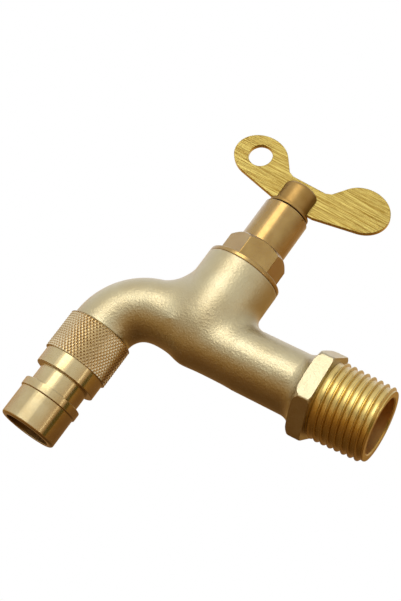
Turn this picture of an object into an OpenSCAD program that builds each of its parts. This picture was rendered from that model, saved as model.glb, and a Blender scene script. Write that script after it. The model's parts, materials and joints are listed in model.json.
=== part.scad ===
// Quarter-turn washing machine tap with a butterfly key, built as its real pieces.
// Origin: centre of the wall-side face of the inlet hexagon, where the pipe thread starts.
// +X runs along the inlet into the wall, +Z runs up along the spindle.

/* [Inlet] */
// Distance from the thread's shoulder to the spindle axis
inlet_reach = 37; // [34:0.5:44]
// Outer diameter of the half-inch pipe thread
thread_d = 20.956; // [20.8:0.001:21]
// Length of the threaded end
thread_len = 15.5; // [12:0.5:20]
// Outer diameter of the inlet barrel
barrel_d = 16.8; // [15.5:0.1:17.5]
// Width across the flats of the inlet hexagon
inlet_hex_af = 22; // [21:0.1:24]
// Thickness of the inlet hexagon
inlet_hex_t = 4.3; // [3:0.1:6]
// Bore of the inlet barrel
inlet_bore_d = 13; // [11:0.1:13.2]
// Wider bore at the mouth of the thread
mouth_bore_d = 15; // [14:0.1:16]
// Depth of that wider bore
mouth_depth = 12; // [6:0.5:14]

/* [Valve chamber] */
// Lean of the spindle and nozzle axes towards the wall
lean = 3.5; // [0:0.5:8]
// Outer diameter of the upright chamber
chamber_d = 21.3; // [20.8:0.1:24]
// Height of the chamber's top face above the inlet axis
chamber_top = 20.5; // [20:0.5:26]
// Depth of the chamber's rounded bottom below the inlet axis
chamber_drop = 8.8; // [8.6:0.1:11]
// Height above the inlet axis at which the rounded bottom starts to close in
bottom_start = 6; // [1:0.5:8]
// Radius of the cast fillet where the inlet barrel meets the chamber
cast_fillet = 5; // [3:0.5:6]
// Radius of the cast fillet where the spout leaves the chamber
spout_fillet = 12; // [6:0.5:12]

/* [Spout] */
// Height of the spout's axis above the inlet axis where it leaves the chamber
spout_rise = 0.8; // [0.6:0.1:2]
// Radius of the quarter bend, at its centre line
bend_r = 12.5; // [10:0.5:12.5]
// Slope of the bend's back where the fillet of the chamber runs out on it
back_slope = 20; // [14:1:24]
// Distance from the spindle axis to the nozzle axis
spout_reach = 22.7; // [21:0.1:30]
// Bore of the spout
spout_bore_d = 12.4; // [11:0.1:13]
// Depth of the shoulder that the nozzle is screwed up to
spout_shoulder = 12; // [11:0.5:16]
// Diameter and length of the spout's thread inside the nozzle
spout_thread_d = 15.2; // [14.8:0.1:15.6]
// Length of the spout's thread
spout_thread_len = 8.5; // [6:0.5:10]

/* [Nozzle] */
// Diameter of the knurled collar
knurl_d = 18.5; // [18:0.1:20]
// Height of the knurled collar
knurl_h = 11.1; // [10.6:0.1:14]
// Diameter of the shoulder below the knurl
shoulder_d = 17.3; // [16.5:0.1:18]
// Height of the shoulder below the knurl
shoulder_h = 4.6; // [3:0.1:6]
// Diameter of the neck groove
neck_d = 13.9; // [13:0.1:15]
// Height of the neck groove
neck_h = 4.9; // [3:0.1:6]
// Diameter of the rib
rib_d = 16.6; // [16:0.1:17.5]
// Height of the rib
rib_h = 2.3; // [1.5:0.1:4]
// Diameter of the tip that takes the hose
tip_d = 15.8; // [15:0.1:16.4]
// Height of the tip
tip_h = 8.7; // [6:0.1:14]
// Bore of the nozzle
nozzle_bore_d = 10.6; // [9:0.1:11.4]

/* [Bonnet] */
// Diameter of the thin round collar on the chamber
collar_d = 21.2; // [20:0.1:22]
// Thickness of that collar
collar_t = 1.3; // [0.8:0.1:2]
// Width across the flats of the bonnet hexagon
bonnet_hex_af = 15.3; // [15:0.1:17]
// Height of the top of the bonnet hexagon
bonnet_hex_top = 29; // [26:0.5:32]
// Turn of the bonnet hexagon about the spindle
bonnet_hex_turn = 17; // [0:1:59]
// Outer diameter of the bonnet barrel
bonnet_d = 13; // [12.6:0.1:14]
// Height of the top of the bonnet barrel
bonnet_top = 41.5; // [40:0.5:46]

/* [Key] */
// Turn of the wings from the inlet's direction, seen from above
key_turn = 4; // [-20:1:20]
// Diameter of the key's flange
flange_d = 11.9; // [11:0.1:13]
// Thickness of the key's flange
flange_t = 1; // [0.6:0.1:2]
// Gap between the barrel's top and the flange
flange_gap = 0.5; // [0.3:0.1:1]
// Diameter of the slotted head
head_d = 10; // [9:0.1:11.5]
// Height of the slotted head above its flange
head_h = 6.7; // [5:0.1:8]
// Thickness of the wing plate
plate_t = 1.5; // [1:0.1:2]
// Length of a lobe, along the wings
lobe_w = 15.6; // [12:0.1:18]
// Height of a lobe
lobe_h = 13; // [11:0.1:15]
// Distance of a lobe's centre from the middle of the plate
lobe_x = 16; // [15:0.1:20]
// Height of a lobe's centre above the flange
lobe_z = 9.7; // [8:0.1:12]
// Shift of the plate along the wings, out of the middle of the head
plate_shift = 0.6; // [-0.8:0.1:0.8]
// Diameter of the key-ring hole
ring_hole_d = 6.6; // [4:0.1:8]
// Distance of that hole from the middle of the plate
ring_hole_x = 16.3; // [15:0.1:18]
// Height of that hole above the flange
ring_hole_z = 9.9; // [8.5:0.1:11]

/* [Hidden] */
$fn = 96;

// Clearances: eps carries a cut past a face, the rest are real gaps
eps = 0.05;
screw_gap = 0.04;
run_gap = 0.03;
slide_gap = 0.07;

spindle_x = -inlet_reach;
barrel_r = barrel_d / 2;
chamber_r = chamber_d / 2;

// Inside the chamber, from the seat upwards
seat_z = 5.8;
seat_bore_r = 5.2;
port_r = 4.2;
chamber_bore_r = 8.6;
screw_r = 9;
screw_z = 14.8;
port_len = 13;
// Sloping passage from the chamber down into the spout's bore
outlet_r = 3.5;
outlet_x = -6.5;
outlet_z = 10;
outlet_turn = 217;
outlet_len = 10.7;
spout_bore_x = -7;
seal_t = 2.2;
disc_t = 2.2;
disc_r = 6.2;
disc_bore_r = 6.3;
sleeve_r = 7.3;
sleeve_z = seat_z + 0.8;
fixed_z = seat_z + seal_t;
moving_z = fixed_z + disc_t + run_gap;
foot_z = moving_z + disc_t;
foot_t = 1.5;
bar_w = 4;
bar_depth = 0.8;
thrust_t = 0.8;
thrust_z = screw_z - thrust_t;

// The spindle and the key's socket
stem_bore_r = 4;
stem_r = stem_bore_r - 0.05;
key_bore_r = 5;
key_bore_z = 33;
clip_t = 0.8;
clip_z = key_bore_z + run_gap;
clip_groove_r = 3.3;
square_z = 34.6;
square_af = 5.4;
square_top = 40;
ring_section = 1.6;
lower_ring_z = 19;
upper_ring_z = 24;
collar_top = chamber_top + collar_t;
groove_h = 1.2;

flange_z = bonnet_top + flange_gap;
head_z = flange_z + flange_t;
slot_z = head_z + 0.9;
neck_x = 6;
neck_top = head_z + 9;

// The nozzle's steps, going down
nozzle_top = -spout_shoulder - 0.2;
knurl_z = nozzle_top - knurl_h;
shoulder_z = knurl_z - shoulder_h;
neck_z = shoulder_z - neck_h;
rib_z = neck_z - rib_h;
tip_z = rib_z - tip_h;
spout_end = -spout_shoulder - spout_thread_len;
washer_t = 1.4;
screen_t = 0.5;
ledge_z = spout_end - washer_t - screen_t;
tip_bevel = 0.8;

// A cylinder from one place on the X axis to another
module x_rod(r, x0, x1, z = 0) {
    translate([x0, 0, z]) rotate([0, 90, 0]) cylinder(r = r, h = x1 - x0);
}

// A cylinder along Z from z0 up to z1
module z_rod(r, z0, z1) {
    translate([0, 0, z0]) cylinder(r = r, h = z1 - z0);
}

// A round section ring about Z
module o_ring(centre_r, section_r, z) {
    translate([0, 0, z]) rotate_extrude() translate([centre_r, 0]) circle(r = section_r, $fn = 32);
}

// The spindle's own frame: its axis is Z, and it leans about the point where it meets the inlet
module at_spindle() {
    translate([spindle_x, 0, 0]) rotate([0, lean, 0]) children();
}

module at_nozzle() {
    at_spindle() translate([-spout_reach, 0, 0]) children();
}

module at_key() {
    at_spindle() rotate([0, 0, key_turn]) children();
}

// Points of an arc about c, from angle a0 to a1
function arc(c, r, a0, a1, steps = 24) =
    [for (i = [0:steps]) let (a = a0 + (a1 - a0) * i / steps) c + r * [cos(a), sin(a)]];

// Upright chamber, turned about its axis, with an oval bottom
module chamber_form() {
    squeeze = (bottom_start + chamber_drop) / chamber_r;
    rotate_extrude() polygon(concat(
        [[0, chamber_top]],
        [for (p = arc([0, 0], chamber_r, -90, 0)) [p.x, bottom_start + squeeze * p.y]],
        [[chamber_r, chamber_top]]));
}

// Cast fillet between the chamber and a barrel along +X. A ball that rolls in the corner
// touches both, and its track is the surface. It is sunk a little to cross them cleanly.
// The chamber's axis leans by tilt towards the barrel.
module cast_blend(radius, tilt) {
    sink = 0.25;
    end_turn = 104;
    turns = 20;
    arc_steps = 8;
    core_share = 0.75;
    wall = chamber_r - sink + radius;
    tube = barrel_r - sink + radius;
    ring = arc_steps + 2;
    sections = [for (i = [0:turns])
        let (turn = end_turn * (2 * i / turns - 1),
             side = tube * sin(turn),
             out = sqrt(wall * wall - side * side),
             ball = [(out + tube * cos(turn) * sin(tilt)) / cos(tilt), side, tube * cos(turn)],
             to_tube = radius * [0, -sin(turn), -cos(turn)],
             to_wall = -radius / wall * [out * cos(tilt), side, -out * sin(tilt)],
             sweep = acos(to_tube * to_wall / (radius * radius)),
             on_tube = ball + to_tube,
             on_wall = ball + to_wall)
        concat(
            [for (j = [0:arc_steps]) let (u = sweep * j / arc_steps)
                ball + (to_tube * sin(sweep - u) + to_wall * sin(u)) / sin(sweep)],
            [core_share * [on_wall.x, on_tube.y, on_tube.z]])];
    points = [for (section = sections, point = section) point];
    strips = [for (i = [0:turns - 1], j = [0:ring - 1]) let (k = (j + 1) % ring)
        each [[i * ring + k, (i + 1) * ring + k, (i + 1) * ring + j],
              [i * ring + k, (i + 1) * ring + j, i * ring + j]]];
    core = ring - 1;
    last = turns * ring;
    caps = [for (j = [0:arc_steps - 1])
        each [[core, j + 1, j], [last + core, last + j, last + j + 1]]];
    polyhedron(points = points, faces = concat(strips, caps));
}

// The quarter bend, its straight end and its thread, for the outside and for the bore
module spout_line(r, end_r, end_z) {
    bend_x = spout_reach - bend_r;
    x_rod(r, -bend_x, 0, spout_rise);
    translate([-bend_x, 0, spout_rise - bend_r]) rotate([90, 0, 0])
        rotate_extrude(angle = 90, start = 90) translate([bend_r, 0]) circle(r = r);
    translate([-spout_reach, 0, 0]) {
        z_rod(r, -spout_shoulder, spout_rise - bend_r);
        z_rod(end_r, end_z, eps - spout_shoulder);
    }
}

// The fillet down the back of the spout lands on the bend where it already slopes
module back_blend() {
    bend_x = spout_reach - bend_r;
    landing_x = bend_x + bend_r * sin(back_slope);
    landing_z = spout_rise - bend_r * (1 - cos(back_slope));
    axis_z = landing_z + landing_x * tan(back_slope);
    mirror([1, 0, 0]) translate([0, 0, axis_z]) rotate([0, back_slope, 0])
        cast_blend(spout_fillet, -back_slope);
}

// Hexagonal flange, rounded on the body side and run into the barrel by a fillet
module inlet_hex() {
    corner_r = inlet_hex_af / 2 / cos(30);
    round_r = 2.6;
    chamfer_r = 1.2;
    chamfer_h = 0.7;
    flare = 4.3;
    flare_foot = 2.5;
    intersection() {
        x_rod(corner_r + 1, -inlet_hex_t - flare, 0);
        union() {
            intersection() {
                translate([-inlet_hex_t, 0, 0]) rotate([0, 90, 0])
                    cylinder(r = corner_r, h = inlet_hex_t, $fn = 6);
                translate([-inlet_hex_t, 0, 0]) rotate([0, 90, 0]) rotate_extrude() polygon(concat(
                    [[0, 0], [corner_r - round_r, 0]],
                    arc([corner_r - round_r, round_r], round_r, -90, 0, 12),
                    [[corner_r, inlet_hex_t - chamfer_h], [corner_r - chamfer_r, inlet_hex_t],
                     [0, inlet_hex_t]]));
            }
            translate([-inlet_hex_t - flare, 0, 0]) rotate([0, 90, 0]) rotate_extrude() polygon(concat(
                [[0, 0], [barrel_r, 0]],
                arc([barrel_r + flare, 0], flare, 180, 135, 10),
                [[barrel_r + flare_foot, flare], [0, flare]]));
        }
    }
}

// Threaded end with its chamfer
module inlet_thread() {
    rotate([0, 90, 0]) {
        chamfer = 1.2;
        translate([0, 0, -1]) cylinder(d = thread_d, h = thread_len - chamfer + 1);
        translate([0, 0, thread_len - chamfer])
            cylinder(d1 = thread_d, d2 = thread_d - 2 * chamfer, h = chamfer);
    }
}

// Everything that is hollow in the casting, from the inlet to the spout's end
module water_way() {
    x_rod(mouth_bore_d / 2, thread_len - mouth_depth, thread_len + eps);
    x_rod(inlet_bore_d / 2, spindle_x + port_len, thread_len - mouth_depth + eps);
    x_rod(port_r, spindle_x, spindle_x + port_len + eps);
    at_spindle() {
        z_rod(seat_bore_r, port_r - chamber_drop, seat_z + eps);
        z_rod(chamber_bore_r, seat_z, screw_z + eps);
        z_rod(screw_r, screw_z, chamber_top + eps);
        translate([outlet_x, 0, outlet_z]) rotate([0, outlet_turn, 0])
            cylinder(r = outlet_r, h = outlet_len);
        intersection() {
            spout_line(spout_bore_d / 2, spout_bore_d / 2, spout_end - eps);
            translate([spout_bore_x - 2 * spout_reach, -chamber_r, spout_end - 1])
                cube([2 * spout_reach, chamber_d, chamber_top - spout_end]);
        }
    }
}

module body() {
    color([0.78, 0.70, 0.50]) difference() {
        union() {
            x_rod(barrel_r, spindle_x, -inlet_hex_t);
            inlet_hex();
            inlet_thread();
            translate([spindle_x, 0, 0]) cast_blend(cast_fillet, lean);
            at_spindle() {
                chamber_form();
                back_blend();
                spout_line(barrel_r, spout_thread_d / 2, spout_end);
            }
        }
        water_way();
    }
}

// The bonnet is one turned piece: sleeve for the discs, screwed skirt, collar and barrel
module bonnet_turning() {
    collar_r = collar_d / 2;
    top_r = bonnet_d / 2;
    skirt_r = screw_r - screw_gap;
    skirt_z = screw_z + 0.2;
    edge = 0.4;
    rotate_extrude() polygon([
        [0, sleeve_z], [sleeve_r, sleeve_z], [sleeve_r, skirt_z],
        [skirt_r, skirt_z], [skirt_r, chamber_top - groove_h],
        [skirt_r - groove_h, chamber_top - groove_h], [skirt_r - groove_h, chamber_top],
        [collar_r, chamber_top], [collar_r, collar_top - edge], [collar_r - edge, collar_top],
        [top_r, collar_top], [top_r, bonnet_top - edge], [top_r - edge, bonnet_top],
        [0, bonnet_top]]);
}

// Hexagon for the spanner, chamfered at the top
module bonnet_hex() {
    flat_r = bonnet_hex_af / 2;
    corner_r = flat_r / cos(30);
    foot = collar_top - collar_t / 2;
    chamfer_h = 1.4;
    land_r = flat_r - 0.2;
    intersection() {
        rotate([0, 0, bonnet_hex_turn]) translate([0, 0, foot])
            cylinder(r = corner_r, h = bonnet_hex_top - foot, $fn = 6);
        rotate_extrude() polygon([
            [0, foot - 1], [corner_r + 1, foot - 1], [corner_r + 1, bonnet_hex_top - chamfer_h],
            [land_r, bonnet_hex_top], [0, bonnet_hex_top]]);
    }
}

module bonnet() {
    window_w = 8;
    window_h = 3.2;
    window_z = moving_z + 0.4;
    color([0.72, 0.58, 0.36]) at_spindle() difference() {
        union() {
            bonnet_turning();
            bonnet_hex();
        }
        rotate_extrude() polygon([
            [0, sleeve_z - 1], [disc_bore_r, sleeve_z - 1], [disc_bore_r, screw_z],
            [stem_bore_r, screw_z], [stem_bore_r, key_bore_z], [key_bore_r, key_bore_z],
            [key_bore_r, bonnet_top + 1], [0, bonnet_top + 1]]);
        translate([-sleeve_r - 1, -window_w / 2, window_z])
            cube([2 * sleeve_r + 2, window_w, window_h]);
    }
}

module bonnet_o_ring() {
    color([0.12, 0.12, 0.12]) at_spindle()
        o_ring(screw_r - screw_gap - groove_h / 2, groove_h / 2 - run_gap, chamber_top - groove_h / 2);
}

// Foot bar that drives the disc, stem with two seal grooves, clip groove and square end
module spindle() {
    groove_r = stem_r - ring_section + 0.05;
    half_groove = ring_section / 2 + 0.1;
    color([0.80, 0.66, 0.38]) at_key() {
        intersection() {
            z_rod(disc_r - 0.1, foot_z - bar_depth, foot_z + foot_t);
            drive_bar(foot_t + bar_depth);
        }
        difference() {
            z_rod(stem_r, foot_z + foot_t - eps, square_z);
            for (z = [lower_ring_z, upper_ring_z]) difference() {
                z_rod(stem_r + 1, z - half_groove, z + half_groove);
                z_rod(groove_r, z - ring_section, z + ring_section);
            }
            difference() {
                z_rod(stem_r + 1, clip_z, clip_z + clip_t);
                z_rod(clip_groove_r, clip_z - 1, clip_z + clip_t + 1);
            }
        }
        translate([-square_af / 2, -square_af / 2, square_z - eps])
            cube([square_af, square_af, square_top - square_z + eps]);
    }
}

// Bar across the spindle's foot, and the slot for it in the disc
module drive_bar(h) {
    translate([-disc_r, -bar_w / 2, foot_z - bar_depth]) cube([2 * disc_r, bar_w, h]);
}

module stem_o_ring(z) {
    section_r = ring_section / 2 - run_gap;
    color([0.12, 0.12, 0.12]) at_key() o_ring(stem_r - section_r, section_r, z);
}

module lower_o_ring() { stem_o_ring(lower_ring_z); }

module upper_o_ring() { stem_o_ring(upper_ring_z); }

// Plastic ring between the turning foot and the bonnet
module thrust_washer() {
    color([0.92, 0.92, 0.88]) at_spindle() difference() {
        z_rod(disc_r, thrust_z, screw_z);
        z_rod(stem_bore_r + 0.1, thrust_z - 1, screw_z + 1);
    }
}

// Open spring ring that stops the spindle from dropping
module circlip() {
    mouth_w = 2.8;
    color([0.55, 0.55, 0.56]) at_key() difference() {
        z_rod(key_bore_r - 0.2, clip_z, clip_z + clip_t);
        z_rod(clip_groove_r, clip_z - 1, clip_z + clip_t + 1);
        translate([0, -mouth_w / 2, clip_z - 1]) cube([key_bore_r, mouth_w, clip_t + 2]);
    }
}

// Quarter openings of a ceramic disc, opposite each other
module disc_ports(turn, z) {
    inner_r = 1.6;
    inner_half = 20;
    outer_r = 5;
    outer_half = 38;
    for (side = [0, 180]) rotate([0, 0, turn + side]) translate([0, 0, z - 1])
        linear_extrude(height = disc_t + 2) polygon(concat(
            arc([0, 0], outer_r, -outer_half, outer_half, 12),
            arc([0, 0], inner_r, inner_half, -inner_half, 4)));
}

module moving_disc() {
    color([0.90, 0.88, 0.84]) at_key() difference() {
        z_rod(disc_r - 0.05, moving_z, foot_z);
        disc_ports(90, moving_z);
        drive_bar(bar_depth + eps);
    }
}

module fixed_disc() {
    color([0.94, 0.93, 0.90]) at_spindle() difference() {
        z_rod(disc_r, fixed_z, fixed_z + disc_t);
        rotate([0, 0, key_turn]) disc_ports(0, fixed_z);
    }
}

// Rubber ring between the fixed disc and the seat of the casting
module seat_seal() {
    color([0.14, 0.14, 0.14]) at_spindle() difference() {
        z_rod(disc_r, seat_z, fixed_z);
        z_rod(seat_bore_r - 0.1, seat_z - 1, fixed_z + 1);
    }
}

// Turned key body: shank with a square socket, flange and slotted head
module key_stem() {
    round_r = 1.1;
    edge = 0.2;
    socket_w = square_af + 2 * slide_gap;
    socket_h = square_top - square_z + 0.3;
    slot_w = plate_t + 0.04;
    head_r = head_d / 2;
    flange_r = flange_d / 2;
    head_top = head_z + head_h;
    color([0.72, 0.56, 0.36]) at_key() difference() {
        union() {
            z_rod(key_bore_r - slide_gap, square_z + slide_gap, flange_z + eps);
            rotate_extrude() polygon(concat(
                [[0, flange_z], [flange_r - edge, flange_z], [flange_r, flange_z + edge],
                 [flange_r, head_z - edge], [flange_r - edge, head_z], [head_r, head_z]],
                arc([head_r - round_r, head_top - round_r], round_r, 0, 90, 10),
                [[0, head_top]]));
        }
        translate([-socket_w / 2, -socket_w / 2, square_z]) cube([socket_w, socket_w, socket_h]);
        translate([-head_r - 1, -slot_w / 2, slot_z]) cube([head_d + 2, slot_w, head_h]);
    }
}

// Half of the wing's outline: neck corners, two straight edges and the oval lobe between.
// The tangent points come from the lobe squeezed to a circle.
function wing_half() =
    let (c = [lobe_x, head_z + lobe_z],
         corner_r = 0.9,
         r = lobe_w / 2,
         squeeze = lobe_h / lobe_w,
         low = [neck_x, slot_z],
         high = [neck_x, neck_top],
         to_low = [low.x - c.x, (low.y - c.y) / squeeze],
         to_high = [high.x - c.x, (high.y - c.y) / squeeze],
         from = atan2(to_low.y, to_low.x) + acos(r / norm(to_low)),
         to = atan2(to_high.y, to_high.x) - acos(r / norm(to_high)))
    concat([low],
           [for (p = arc([0, 0], r, from, to < from ? to + 360 : to, 48)) c + [p.x, squeeze * p.y]],
           [high + corner_r * [cos(45), sin(45)], high - [corner_r, 0]]);

// Stamped sheet with two lobes and a hole for a key ring
module wing_plate() {
    half = wing_half();
    last = len(half) - 1;
    color([0.82, 0.70, 0.36]) at_key() translate([plate_shift, plate_t / 2, 0]) rotate([90, 0, 0])
        difference() {
            linear_extrude(height = plate_t) polygon(concat(
                half, [for (i = [last:-1:0]) [-half[i].x, half[i].y]]));
            translate([-ring_hole_x, head_z + ring_hole_z, -1]) cylinder(d = ring_hole_d, h = plate_t + 2);
        }
}

// Turned nozzle: knurled collar, shoulder, neck, rib and tip, bored through
module nozzle() {
    knurl_r = knurl_d / 2;
    shoulder_r = shoulder_d / 2;
    rib_r = rib_d / 2;
    tip_r = tip_d / 2;
    knurl_edge = 0.4;
    edge = 0.3;
    mouth_r = nozzle_bore_d / 2 + 1;
    mouth_h = 3;
    color([0.80, 0.74, 0.58]) at_nozzle() difference() {
        rotate_extrude() polygon([
            [0, nozzle_top], [knurl_r - knurl_edge, nozzle_top], [knurl_r, nozzle_top - knurl_edge],
            [knurl_r, knurl_z + knurl_edge], [knurl_r - knurl_edge, knurl_z], [shoulder_r, knurl_z],
            [shoulder_r, shoulder_z + edge], [shoulder_r - edge, shoulder_z],
            [neck_d / 2, shoulder_z], [neck_d / 2, neck_z], [rib_r - edge, neck_z],
            [rib_r, neck_z - edge], [rib_r, rib_z + edge], [rib_r - edge, rib_z],
            [tip_r, rib_z], [tip_r, tip_z + tip_bevel], [tip_r - tip_bevel, tip_z],
            [0, tip_z]]);
        z_rod(spout_thread_d / 2 + screw_gap, ledge_z, nozzle_top + eps);
        z_rod(nozzle_bore_d / 2, tip_z - eps, ledge_z + eps);
        z_rod(mouth_r, tip_z - eps, tip_z + mouth_h);
    }
}

module nozzle_washer() {
    color([0.13, 0.13, 0.13]) at_nozzle() difference() {
        z_rod(spout_thread_d / 2, spout_end - washer_t, spout_end);
        z_rod(nozzle_bore_d / 2, ledge_z - 1, spout_end + 1);
    }
}

// Strainer under the washer: a rim with crossed bars
module nozzle_screen() {
    pitch = 1.5;
    bar_w = 0.5;
    rim_r = nozzle_bore_d / 2;
    lap = 0.3;
    color([0.70, 0.70, 0.70]) at_nozzle() translate([0, 0, ledge_z]) {
        difference() {
            cylinder(d = spout_thread_d, h = screen_t);
            translate([0, 0, -1]) cylinder(r = rim_r, h = screen_t + 2);
        }
        intersection() {
            cylinder(r = rim_r + lap, h = screen_t);
            for (turn = [0, 90]) rotate([0, 0, turn]) for (i = [-3:3])
                translate([-rim_r - 1, i * pitch - bar_w / 2, 0]) cube([2 * rim_r + 2, bar_w, screen_t]);
        }
    }
}

body();
bonnet();
bonnet_o_ring();
spindle();
lower_o_ring();
upper_o_ring();
thrust_washer();
circlip();
moving_disc();
fixed_disc();
seat_seal();
key_stem();
wing_plate();
nozzle();
nozzle_washer();
nozzle_screen();
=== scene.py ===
"""Looks of a quarter-turn brass washing machine tap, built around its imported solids.

The casting, the turned parts and the stamped key are modelled here in millimetres, each in
the frame of its own axis, and then placed in metres where the solids are.
"""

import json
import logging
import math
from dataclasses import dataclass, field
from enum import Enum
from typing import Callable, Iterable, Sequence

import bmesh
import bpy
from mathutils import Matrix, Vector


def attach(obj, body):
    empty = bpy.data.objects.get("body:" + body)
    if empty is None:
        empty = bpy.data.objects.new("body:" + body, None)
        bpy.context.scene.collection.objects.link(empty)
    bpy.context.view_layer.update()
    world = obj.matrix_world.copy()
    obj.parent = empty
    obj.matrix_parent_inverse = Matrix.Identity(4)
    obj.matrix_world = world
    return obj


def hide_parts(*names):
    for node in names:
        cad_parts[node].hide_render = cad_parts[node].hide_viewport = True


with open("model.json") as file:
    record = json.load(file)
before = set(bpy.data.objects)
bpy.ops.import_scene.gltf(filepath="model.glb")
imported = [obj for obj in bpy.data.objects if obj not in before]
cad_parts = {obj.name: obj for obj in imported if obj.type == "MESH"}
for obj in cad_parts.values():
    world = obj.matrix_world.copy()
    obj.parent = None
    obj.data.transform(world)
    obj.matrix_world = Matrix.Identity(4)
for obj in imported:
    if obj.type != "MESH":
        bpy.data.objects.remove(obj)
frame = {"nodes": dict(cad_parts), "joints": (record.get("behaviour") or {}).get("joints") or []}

MM = 0.001
ROUND_STEPS = 144
log = logging.getLogger("tap")

Point = tuple[float, float]
Colour = tuple[float, float, float]


class Body(Enum):
    """The moving bodies of the tap."""

    TAP = "tap"
    SPINDLE = "spindle"
    KEY = "key"


class Join(Enum):
    """Ways to work one closed shape with another."""

    CUT = "DIFFERENCE"
    ADD = "UNION"


def spindle_frame(turn: float = 0.0, shift: float = 0.0) -> Matrix:
    """The spindle's frame in millimetres: Z along the hinge, foot on the inlet's axis.

    Args:
        turn: Turn about the spindle, in degrees.
        shift: Move along the turned X, in millimetres.

    Returns:
        The matrix from that frame to the part's own.
    """
    hinge = frame["joints"][0]
    axis = Vector(hinge["axis"])
    place = Vector(hinge["pos_m"]) / MM
    foot = place - axis * (place.z / axis.z)
    lean = Matrix.Rotation(math.atan2(axis.x, axis.z), 4, "Y")
    spin = Matrix.Rotation(math.radians(turn), 4, "Z")
    return Matrix.Translation(foot) @ lean @ spin @ Matrix.Translation((shift, 0, 0))


def inlet_frame() -> Matrix:
    """The inlet's frame: Z along the pipe, into the wall."""
    return Matrix.Rotation(math.radians(90), 4, "Y")


def arc(centre: Point, radius: float, start: float, end: float, steps: int) -> list[Point]:
    """Points of an arc in a turning profile.

    Args:
        centre: Centre, as (radius, height).
        radius: Radius of the arc.
        start: First angle in degrees.
        end: Last angle in degrees.
        steps: Number of steps between them.

    Returns:
        The points, both ends included.
    """
    turns = [math.radians(start + (end - start) * i / steps) for i in range(steps + 1)]
    return [(centre[0] + radius * math.cos(a), centre[1] + radius * math.sin(a)) for a in turns]


def spun(profile: Sequence[Point], closed: bool = True, steps: int = ROUND_STEPS) -> bmesh.types.BMesh:
    """Turn a profile about Z, as a lathe does.

    Args:
        profile: Points as (radius, height), in order.
        closed: Whether the last point joins the first.
        steps: Number of steps round.

    Returns:
        The mesh, closed where the profile is.
    """
    bm = bmesh.new()
    verts = [bm.verts.new((r, 0, z)) for r, z in profile]
    pairs = list(zip(verts, verts[1:] + verts[:1]))
    edges = [bm.edges.new(pair) for pair in (pairs if closed else pairs[:-1])]
    bmesh.ops.spin(bm, geom=verts + edges, cent=(0, 0, 0), axis=(0, 0, 1), dvec=(0, 0, 0),
                   angle=math.tau, steps=steps, use_merge=True)
    bmesh.ops.remove_doubles(bm, verts=bm.verts, dist=1e-4)
    bmesh.ops.recalc_face_normals(bm, faces=bm.faces)
    return bm


def block(low: Sequence[float], high: Sequence[float]) -> bmesh.types.BMesh:
    """A rectangular cutter from its lowest to its highest corner."""
    bm = bmesh.new()
    bmesh.ops.create_cube(bm, size=1)
    size = Vector(high) - Vector(low)
    bmesh.ops.scale(bm, vec=size, verts=bm.verts)
    bmesh.ops.translate(bm, vec=Vector(low) + size / 2, verts=bm.verts)
    return bm


def rod(radius: float, low: float, high: float, steps: int = 96) -> bmesh.types.BMesh:
    """A round cutter along Z."""
    bm = bmesh.new()
    bmesh.ops.create_cone(bm, cap_ends=True, segments=steps, radius1=radius, radius2=radius,
                          depth=high - low)
    bmesh.ops.translate(bm, vec=(0, 0, (low + high) / 2), verts=bm.verts)
    return bm


def ease_edges(bm: bmesh.types.BMesh, offset: float, sharp: float = 25.0, segments: int = 2,
               keep: Callable[[bmesh.types.BMEdge], bool] | None = None) -> None:
    """Break the sharp edges of a shape with a small round.

    Args:
        bm: The shape.
        offset: Width of the round.
        sharp: Smallest angle between faces that counts as an edge, in degrees.
        segments: Steps across the round.
        keep: Says which sharp edges are rounded; all of them if it is left out.
    """
    limit = math.radians(sharp)
    edges = [e for e in bm.edges if len(e.link_faces) == 2 and e.calc_face_angle(0) > limit]
    edges = [e for e in edges if keep is None or keep(e)]
    bmesh.ops.bevel(bm, geom=edges, offset=offset, offset_type="OFFSET", segments=segments,
                    profile=0.5, affect="EDGES", clamp_overlap=True, material=-1)


def mesh_of(bm: bmesh.types.BMesh, name: str) -> bpy.types.Mesh:
    """Write a bmesh into a mesh and free it."""
    mesh = bpy.data.meshes.new(name)
    bm.to_mesh(mesh)
    bm.free()
    return mesh


def loose_object(bm: bmesh.types.BMesh, name: str) -> bpy.types.Object:
    """Put a bmesh into the scene as an object for the time of one operation."""
    obj = bpy.data.objects.new(name, mesh_of(bm, name))
    bpy.context.scene.collection.objects.link(obj)
    return obj


def evaluated(obj: bpy.types.Object) -> bmesh.types.BMesh:
    """The mesh of an object with its modifiers applied; the object itself is removed."""
    bpy.context.view_layer.update()
    shown = obj.evaluated_get(bpy.context.evaluated_depsgraph_get())
    bm = bmesh.new()
    bm.from_mesh(shown.to_mesh())
    shown.to_mesh_clear()
    discard(obj)
    return bm


def discard(obj: bpy.types.Object) -> None:
    """Remove an object and its mesh."""
    mesh = obj.data
    bpy.data.objects.remove(obj)
    bpy.data.meshes.remove(mesh)


def worked(base: bmesh.types.BMesh, tool: bmesh.types.BMesh, how: Join) -> bmesh.types.BMesh:
    """Cut one closed shape with another, or join them.

    Args:
        base: The shape that is worked; it is freed.
        tool: The shape that works it; it is freed.
        how: Whether the tool is taken away or joined on.

    Returns:
        The new shape.
    """
    target = loose_object(base, "worked_base")
    helper = loose_object(tool, "worked_tool")
    modifier = target.modifiers.new("work", "BOOLEAN")
    modifier.operation = how.value
    modifier.object = helper
    modifier.solver = "EXACT"
    result = evaluated(target)
    discard(helper)
    bmesh.ops.remove_doubles(result, verts=result.verts, dist=1e-4)
    return result


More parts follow.
